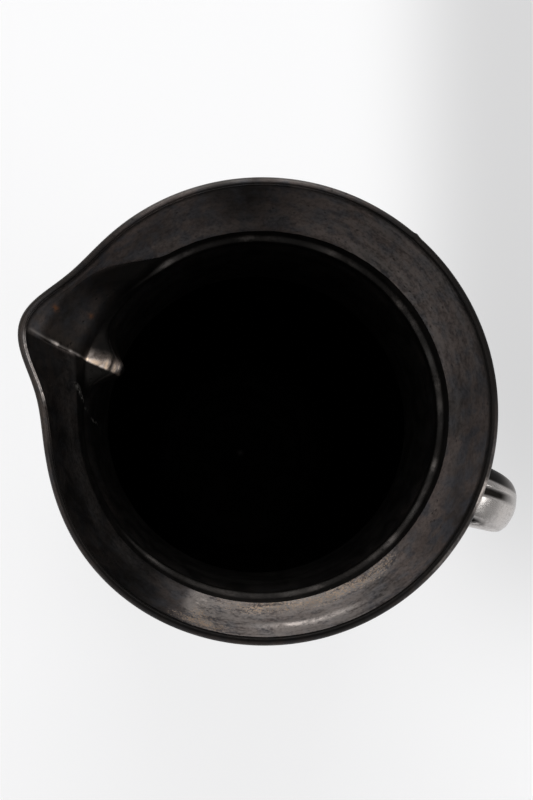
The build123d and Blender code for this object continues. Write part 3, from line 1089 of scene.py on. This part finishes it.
class JUG_OT_foot(bpy.types.Operator):
    """Foot ring that the jug stands on"""

    bl_idname = "jug.foot"
    bl_label = "Foot ring"

    def execute(self, context):
        """A closed ring: a rectangle with rounded lower edges, whose outer side leans out towards the
        table by a power of its height."""
        s = context.scene.jug_shape
        turn = turns(300, 0.0)
        low = FOOT_LOW.z
        high = FOOT_HIGH.z
        outer = FOOT_HIGH.y
        inner = outer - s.foot_width
        calm = 0.6 * s.wobble * unevenness(turn, 0.3)
        bend = np.linspace(0.0, 0.5 * math.pi, 7)[:, None]
        rise = np.linspace(0.0, 1.0, 14)[1:, None]
        top = np.linspace(0.0, 1.0, 6)[1:, None]
        tall = high - low - FOOT_CORNER
        lean = outer - s.foot_flare * rise ** 0.7
        flat = s.foot_width - 2.0 * FOOT_CORNER
        out_round = FOOT_CORNER * (1.0 - np.sin(bend))
        out_lift = FOOT_CORNER * (1.0 - np.cos(bend))
        points, _ = stacked(turn, (
            (outer - out_round - calm, low + out_lift),
            (lean - calm, low + FOOT_CORNER + rise * tall),
            (lean[-1] + top * (inner - lean[-1]) - calm, high),
            (inner - calm, high - rise * tall),
            (inner + out_lift[1:] - calm, low + out_round[1:]),
            (inner + FOOT_CORNER + between(3) * flat - calm, low)))
        height = points[..., 2]
        wear = 0.45 * bell(height, high, 0.0012) + 0.3 * bell(height, FOOT_BAND, 0.0015)
        mesh = mesh_piece("foot_ring", points, ring=True)
        paint(mesh, points, wear=wear)
        place_piece("foot_ring_shell", mesh, finish("black_lustre"), "foot_ring")
        return {"FINISHED"}


# How far the slip's beads are let into the wall
BEAD_SINK = 0.0003


class JUG_OT_seams(bpy.types.Operator):
    """Luting slip in the seams under the body, between body and neck, and between neck and mouth"""

    bl_idname = "jug.seams"
    bl_label = "Slip seams"

    def execute(self, context):
        """Each seam is a closed ring: a half-ellipse bead outside that swells and thins round the
        jug, and an inner side flush with the wall."""
        s = context.scene.jug_shape
        turn = turns(480)
        swing = np.linspace(-0.5 * math.pi, 0.5 * math.pi, 15)[:, None]
        back = np.linspace(1.0, -1.0, 5)[:, None]
        for node in ("foot_slip", "neck_slip", "mouth_slip"):
            low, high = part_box(node)
            middle = 0.5 * (low.z + high.z)
            half = 0.5 * (high.z - low.z)
            swell = 0.6 + 0.4 * unevenness(3.0 * turn, middle)
            in_height = middle + half * back
            if node == "foot_slip":
                bead_height = middle + half * np.sin(swing)
                skin = s.base_radius - 0.5 * s.wobble
                inner = skin - s.foot_width + s.foot_flare
            else:
                bead_height = middle + 2.0 * half * np.sin(swing) * swell
                skin = outer_radius(s, turn, bead_height)
                inner = inner_radius(s, turn, in_height)
            bead_reach = skin - BEAD_SINK + (s.seam_bead * swell + BEAD_SINK) * np.cos(swing)
            points, part = stacked(turn, ((bead_reach, bead_height), (inner, in_height)))
            sill = part * spout_highlight(points)
            wear = BEAD_WEAR * np.concatenate([np.cos(swing), np.zeros_like(back)])
            mesh = mesh_piece(node, points, ring=True)
            # Painted highlight on the spout's patch and painted shade on the inner sides; real wear on
            # the beads
            paint(mesh, points, wear=wear, gilt=PATCH_HIGHLIGHT * sill, inside=part - sill)
            place_piece(node + "_bead", mesh, finish("slip_under_glaze"), node)
        return {"FINISHED"}


# Strap's middle line: places and directions in the X-Z plane, and how strongly each of the three
# stretches between them leaves and arrives
STRAP_PLACES = ((0.0555, 0.1866), (0.0800, 0.2016), (0.0944, 0.1816), (0.0740, 0.1138))
STRAP_AIMS = ((1.0, 0.7), (1.0, 0.0), (-0.25, -1.0), (-1.0, -1.6))
STRAP_PULLS = ((1.7, 0.9), (0.5, 1.4), (1.2, 1.5))

# Grooves, as places across the strap: the wide one drifts along the bend
WIDE_GROOVE = 0.19
WIDE_GROOVE_DRIFT = 0.96
WIDE_GROOVE_SPREAD = 0.135
SMALL_GROOVE = -0.79
SMALL_GROOVE_SPREAD = 0.075
GROOVE_FADE = 0.92

# Outline: spread at the roots, the stretch past the bend, the shift off the middle towards -Y before
# and past it, the fuller -Y edge, and a slow sway
ROOT_SPREAD = 0.35
PAST_BEND_FROM = 0.36
PAST_BEND_SPAN = 0.16
STRAP_SHIFT = 0.0007
PAST_BEND_SHIFT = 0.0010
EDGE_BULGE = 0.0011
STRAP_SWAY = 0.00025


def strap_middle(along):
    """Middle line of the strap in the X-Z plane: three cubics between four places with set
    directions; each leaves and arrives with a tangent as long as its chord times a pull."""
    places = np.array(STRAP_PLACES)
    aims = np.array(STRAP_AIMS)
    aims = aims / np.linalg.norm(aims, axis=1)[:, None]
    chords = np.linalg.norm(np.diff(places, axis=0), axis=1)
    marks = np.concatenate([[0.0], np.cumsum(chords)]) / chords.sum()
    piece = np.clip(np.searchsorted(marks, along, side="right") - 1, 0, len(chords) - 1)
    t = ((along - marks[piece]) / (marks[piece + 1] - marks[piece]))[..., None]
    pull = chords[piece][..., None] * np.array(STRAP_PULLS)[piece]
    return cubic(t, places[piece], pull[..., :1] * aims[piece],
                 places[piece + 1], pull[..., 1:] * aims[piece + 1])


def strap_across(around):
    """Place across the strap, from minus one to one: a cosine on the crowned outer face, and its
    signed root on the flatter inner face."""
    c = np.cos(around)
    return np.where(np.sin(around) > 0.0, c, np.sign(c) * np.sqrt(np.abs(c)))


def strap_grooves(along, across):
    """Depth of the strap's two grooves as a share: a flat-bottomed bell and a narrow one across the
    strap that fade past the bend, the narrow one sooner."""
    middle = WIDE_GROOVE + WIDE_GROOVE_DRIFT * (np.clip(along, 0.20, 0.40) - 0.29)
    wide = np.exp(-((across - middle) / WIDE_GROOVE_SPREAD) ** 4)
    wide = wide * (1.0 - GROOVE_FADE * smooth_step((along - 0.31) / 0.06))
    small = bell(across, SMALL_GROOVE, SMALL_GROOVE_SPREAD)
    return wide + small * (1.0 - GROOVE_FADE * smooth_step((along - 0.265) / 0.045))


def strap_points(s, along, around):
    """Strap surface: a half-ellipse outside and a flatter curve inside, wider at both roots and fuller
    on its -Y edge, carried along the middle line, with two grooves in its outer face and a slow sway."""
    step = 0.002
    middle = strap_middle(along)
    ahead = strap_middle(np.clip(along + step, 0.0, 1.0)) - strap_middle(np.clip(along - step, 0.0, 1.0))
    ahead = ahead / np.linalg.norm(ahead, axis=-1)[..., None]
    spread = 1.0 + ROOT_SPREAD * (2.0 * along - 1.0) ** 8
    past_bend = smooth_step((along - PAST_BEND_FROM) / PAST_BEND_SPAN)
    taper = along + 0.5 * (1.0 - along) * past_bend
    half_width = 0.5 * (s.strap_width + (s.strap_tail_width - s.strap_width) * taper) * spread
    half_thick = 0.5 * s.strap_thickness * spread
    across = strap_across(around)
    d = np.sin(around)
    full = 1.0 - 0.30 * smooth_step((-across - 0.2) / 0.5)
    crown = (half_thick + s.strap_sink) * np.clip(d, 0.0, 1.0) ** full
    belly = (half_thick - s.strap_sink) * np.clip(-d, 0.0, 1.0) ** 0.8
    outer_face = np.clip(2.0 * d, 0.0, 1.0)
    sway = STRAP_SWAY * (np.sin(3.0 * TAU * along + 2.0 * across) - 1.0)
    bulge = EDGE_BULGE * smooth_step((0.40 - along) / 0.12) * smooth_step((-across - 0.2) / 0.8)
    y = (half_width + sway) * across - STRAP_SHIFT + PAST_BEND_SHIFT * past_bend - bulge
    out = crown - belly - s.strap_sink - s.strap_groove * outer_face * strap_grooves(along, across)
    x = middle[..., 0] - ahead[..., 1] * out
    z = middle[..., 1] + ahead[..., 0] * out
    return np.stack([x, np.broadcast_to(y, x.shape), z], axis=-1)


def turn_of(points):
    """Turns of points about the thrown axis."""
    return np.arctan2(-points[..., 1], -points[..., 0])


def outside_gap(s, points):
    """How far points stand outside the jug's wall, along the radius."""
    reach = np.hypot(points[..., 0], points[..., 1])
    return reach - outer_radius(s, turn_of(points), points[..., 2])


def on_wall(s, points):
    """Points brought along the radius onto the jug's outside."""
    turn = turn_of(points)
    return round_points(turn, outer_radius(s, turn, points[..., 2]), points[..., 2])


def strap_ends(s, around, buried, clear):
    """For every line along the strap, the place between buried and clear where it leaves the wall,
    by halving the stretch again and again."""
    inner = np.full_like(around, buried)
    outer = np.full_like(around, clear)
    for _ in range(30):
        half = 0.5 * (inner + outer)
        out = outside_gap(s, strap_points(s, half, around)) > 0.0
        outer = np.where(out, half, outer)
        inner = np.where(out, inner, half)
    return 0.5 * (inner + outer)


def arcs(start, corner, end, t):
    """Quadratic curves from start to end with the corner as their control point."""
    return (1.0 - t) ** 2 * start + 2.0 * t * (1.0 - t) * corner + t**2 * end


# Handle's ends: how far the middles of its caps are sunk towards the axis, the share of the strap that
# the slip reaches along, how deep the slip's hidden side is, and its bronze wear
CAP_SINK = 0.0015
SLIP_REACH = 0.035
SLIP_DEPTH = 0.7
SLIP_WEAR = 0.12


class JUG_OT_handle(bpy.types.Operator):
    """Pulled strap handle with three ribs, and the smoothed slip round its two roots"""

    bl_idname = "jug.handle"
    bl_label = "Handle"

    def execute(self, context):
        """Every line of the strap runs from the wall of the neck to the wall of the body. Each root
        gets a ring of curves from the wall to the strap that hug the corner between them."""
        s = context.scene.jug_shape
        around = np.arange(160) * TAU / 160
        top = strap_ends(s, around, 0.0, 0.30)
        tail = strap_ends(s, around, 1.0, 0.80)
        along = top + (tail - top) * np.linspace(0.0, 1.0, 220)[:, None]
        points = strap_points(s, along, around)
        sunk = np.array([CAP_SINK, 0.0, 0.0])
        first = points[0].mean(axis=0) - sunk
        last = points[-1].mean(axis=0) - sunk
        mesh = mesh_piece("handle", points, start=first, end=last)
        paint(mesh, points, **self.shares(along, around))
        place_piece("handle_strap", mesh, finish("black_lustre"), "handle")
        self.root(s, "handle_upper_slip", around, top, 1)
        self.root(s, "handle_lower_slip", around, tail, -1)
        return {"FINISHED"}

    def shares(self, along, around):
        """Painted silver highlight over the outer face that fades to both ends, with painted shade in the
        grooves and on the far side, and a warm painted highlight near the middle."""
        across = strap_across(around)
        outer_face = np.sin(around) > 0.0
        far_side = smooth_step((across - 0.50) / 0.10) * outer_face
        dark = far_side * (1.0 - 0.75 * smooth_step((along - 0.30) / 0.12))
        ends = smooth_step((along - 0.08) / 0.12) * (1.0 - 0.65 * smooth_step((along - 0.45) / 0.25))
        groove = np.clip(1.15 * strap_grooves(along, across), 0.0, 1.0)
        silver = smooth_step(2.0 * np.sin(around) + 0.7) * ends * (1.0 - groove) * (1.0 - dark)
        warm = 0.18 * bell(across, -0.15, 0.30) * outer_face * ends
        return {"silver": 0.82 * silver, "gilt": warm, "inside": np.maximum(dark * ends, groove)}

    def root(self, s, name, around, corner, order):
        """Quadratic curves from a point on the wall to a point on the strap, with the corner as
        their control point, and back under the surface with a control point inside the clay. order
        is the way along the strap that leads off the wall, and turns the faces outwards."""
        meet = strap_points(s, corner, around)
        strap = strap_points(s, corner + order * SLIP_REACH, around)
        away = meet - meet.mean(axis=0)
        away = away / np.linalg.norm(away, axis=-1)[..., None]
        wall = on_wall(s, meet + s.root_fillet * away)
        hidden = meet - SLIP_DEPTH * (wall + strap - 2.0 * meet)
        fillet = arcs(wall, meet, strap, np.linspace(0.0, 1.0, 14)[:, None, None])
        under = arcs(wall, hidden, strap, np.linspace(1.0, 0.0, 8)[1:-1, None, None])
        points = np.concatenate([fillet, under])[::order]
        mesh = mesh_piece(name, points, ring=True)
        paint(mesh, points, wear=SLIP_WEAR)
        place_piece(name + "_fillet", mesh, finish("slip_under_glaze"), name)


# Panel lights: name, place right and up in the picture and above the rim, size, and the property that
# holds the power
PANELS = (
    ("key_panel", (0.0, 1.1, 1.2), (1.2, 0.9), "key_power"),
    ("low_panel", (0.0, 1.4, 0.45), (0.9, 0.5), "low_power"),
    ("rim_panel", (1.03, -0.25, 0.95), (0.8, 0.8), "rim_power"),
    ("fill_panel", (-1.2, 0.0, 0.9), (1.0, 1.0), "fill_power"),
)

# Floor: half its width, and the stretches right and up in the picture over which painted shade
# makes it greyer
FLOOR_HALF = 30.0
SHADE_RIGHT = (0.035, 0.142)
SHADE_UP = (-0.170, 0.060)


def lamp(name, where, target, size, power):
    """A rectangular panel light that faces its target."""
    data = bpy.data.lights.new(name, "AREA")
    data.shape = "RECTANGLE"
    data.size = size[0]
    data.size_y = size[1]
    data.energy = power
    made = bpy.data.objects.new(name, data)
    made.location = where
    made.rotation_euler = (Vector(target) - Vector(where)).to_track_quat("-Z", "Y").to_euler()
    bpy.context.scene.collection.objects.link(made)


class JUG_OT_stage(bpy.types.Operator):
    """Pale floor, soft light and the camera over the rim"""

    bl_idname = "jug.stage"
    bl_label = "Stage"

    def execute(self, context):
        """Floor, surround, lights and camera, placed by the rim's middle and the picture's own right
        and up."""
        scene = context.scene
        v = scene.jug_studio
        scene.view_settings.view_transform = "Standard"
        self.floor(v)
        self.world(scene, v)
        rim = Vector((0.0, 0.0, MOUTH_HIGH.z))
        up = Vector((math.cos(v.image_up), math.sin(v.image_up), 0.0))
        right = Vector((math.sin(v.image_up), -math.cos(v.image_up), 0.0))
        for name, (rightward, upward, above), size, power in PANELS:
            where = rim + right * rightward + up * upward + Vector((0.0, 0.0, above))
            lamp(name, where, rim, size, getattr(v, power))
        self.camera(scene, v, rim, right, up)
        return {"FINISHED"}

    def camera(self, scene, v, rim, right, up):
        """The camera leans from straight down towards its side, and its turn about the view puts
        image_up at the top."""
        lean = Vector((math.cos(v.side), math.sin(v.side), 0.0)) * math.sin(v.tilt)
        lean.z = math.cos(v.tilt)
        aim = rim - right * v.rim_right + up * v.rim_down
        eye = rim + lean * v.distance
        ahead = (aim - eye).normalized()
        across = ahead.cross(up).normalized()
        over = across.cross(ahead)
        data = bpy.data.cameras.new("photo_camera")
        data.sensor_fit = "VERTICAL"
        data.lens = data.sensor_height * (aim - eye).length / v.view_height
        data.clip_start = 0.01
        camera = bpy.data.objects.new("photo_camera", data)
        turned = Matrix((across, over, -ahead)).transposed().to_4x4()
        camera.matrix_world = Matrix.Translation(eye) @ turned
        scene.collection.objects.link(camera)
        scene.camera = camera

    def floor(self, v):
        """A flat square of four corners at the height of the foot. Where the camera, a reflection or a
        refraction sees it, part of its colour is plain white; painted shade makes it greyer on one side."""
        signs = ((-1.0, -1.0), (1.0, -1.0), (1.0, 1.0), (-1.0, 1.0))
        mesh = bpy.data.meshes.new("floor")
        mesh.from_pydata([(FLOOR_HALF * x, FLOOR_HALF * y, 0.0) for x, y in signs], [], [(0, 1, 2, 3)])
        material = bpy.data.materials.new("pale_floor")
        w = Weave(material)
        where = w.add("ShaderNodeTexCoord").outputs["Object"]
        split = w.add("ShaderNodeSeparateXYZ", Vector=where)
        x = split.outputs["X"]
        y = split.outputs["Y"]
        cosine = math.cos(v.image_up)
        sine = math.sin(v.image_up)
        right = w.less(w.times(x, sine), w.times(y, cosine))
        upward = w.plus(w.times(x, cosine), w.times(y, sine))
        # Painted shade: the floor greys towards the right and top of the picture
        side = w.times(w.span(right, *SHADE_RIGHT), w.span(upward, *SHADE_UP))
        tone = w.span(side, 0.0, 1.0, 1.0, v.shade)
        path = w.add("ShaderNodeLightPath").outputs
        seen = w.most(path["Is Camera Ray"], path["Is Glossy Ray"], path["Is Transmission Ray"])
        pale = w.blend(seen, tuple(v.floor), tuple(v.matte * c for c in v.floor))
        matte = w.add("ShaderNodeBsdfDiffuse", Color=w.blend(tone, (0.0, 0.0, 0.0), pale))
        glow = w.add("ShaderNodeEmission", Color=tuple(v.glow), Strength=w.times(seen, tone))
        both = w.add("ShaderNodeAddShader")
        w.feed(both.inputs[0], matte.outputs[0])
        w.feed(both.inputs[1], glow.outputs[0])
        w.add("ShaderNodeOutputMaterial", Surface=both.outputs[0])
        mesh.materials.append(material)
        made = bpy.data.objects.new("floor", mesh)
        bpy.context.scene.collection.objects.link(made)

    def world(self, scene, v):
        """A dim surround, brighter towards the horizon than overhead."""
        world = bpy.data.worlds.new("surround")
        w = Weave(world)
        where = w.add("ShaderNodeTexCoord").outputs["Generated"]
        height = w.add("ShaderNodeSeparateXYZ", Vector=where).outputs["Z"]
        fade = w.add("ShaderNodeMapRange", Value=height, To_Min=v.surround, To_Max=v.overhead)
        back = w.add("ShaderNodeBackground", Strength=fade.outputs["Result"])
        w.add("ShaderNodeOutputWorld", Surface=back.outputs[0])
        scene.world = world


class JUG_PT_panel(bpy.types.Panel):
    """Lists the jug's pieces and its sizes, glaze and studio"""

    bl_idname = "JUG_PT_panel"
    bl_label = "Lustre jug"
    bl_space_type = "VIEW_3D"
    bl_region_type = "UI"
    bl_category = "Jug"

    def draw(self, context):
        """One button for each operator, then every property by group."""
        layout = self.layout
        for operator in OPERATORS:
            layout.operator(operator.bl_idname)
        for group in (context.scene.jug_shape, context.scene.jug_glaze, context.scene.jug_studio):
            box = layout.box()
            for key in group.bl_rna.properties.keys():
                if key not in ("rna_type", "name"):
                    box.prop(group, key)


OPERATORS = (JUG_OT_stage, JUG_OT_foot, JUG_OT_body, JUG_OT_neck, JUG_OT_mouth, JUG_OT_seams,
             JUG_OT_handle)
GROUPS = {"jug_shape": JugShape, "jug_glaze": JugGlaze, "jug_studio": JugStudio}


def register():
    """Registers the groups, operators and panel, and hangs the groups on the scene."""
    for group in (*GROUPS.values(), *OPERATORS, JUG_PT_panel):
        bpy.utils.register_class(group)
    for name, group in GROUPS.items():
        setattr(bpy.types.Scene, name, bpy.props.PointerProperty(type=group))


def unregister():
    """Takes everything off again, in the other order."""
    for name in GROUPS:
        delattr(bpy.types.Scene, name)
    for group in reversed((*GROUPS.values(), *OPERATORS, JUG_PT_panel)):
        bpy.utils.unregister_class(group)


def main():
    """Registers the add-on, and builds stage and jug through its operators."""
    register()
    bpy.ops.jug.stage()
    bpy.ops.jug.foot()
    bpy.ops.jug.body()
    bpy.ops.jug.neck()
    bpy.ops.jug.mouth()
    bpy.ops.jug.seams()
    bpy.ops.jug.handle()


if __name__ == "__main__":
    main()
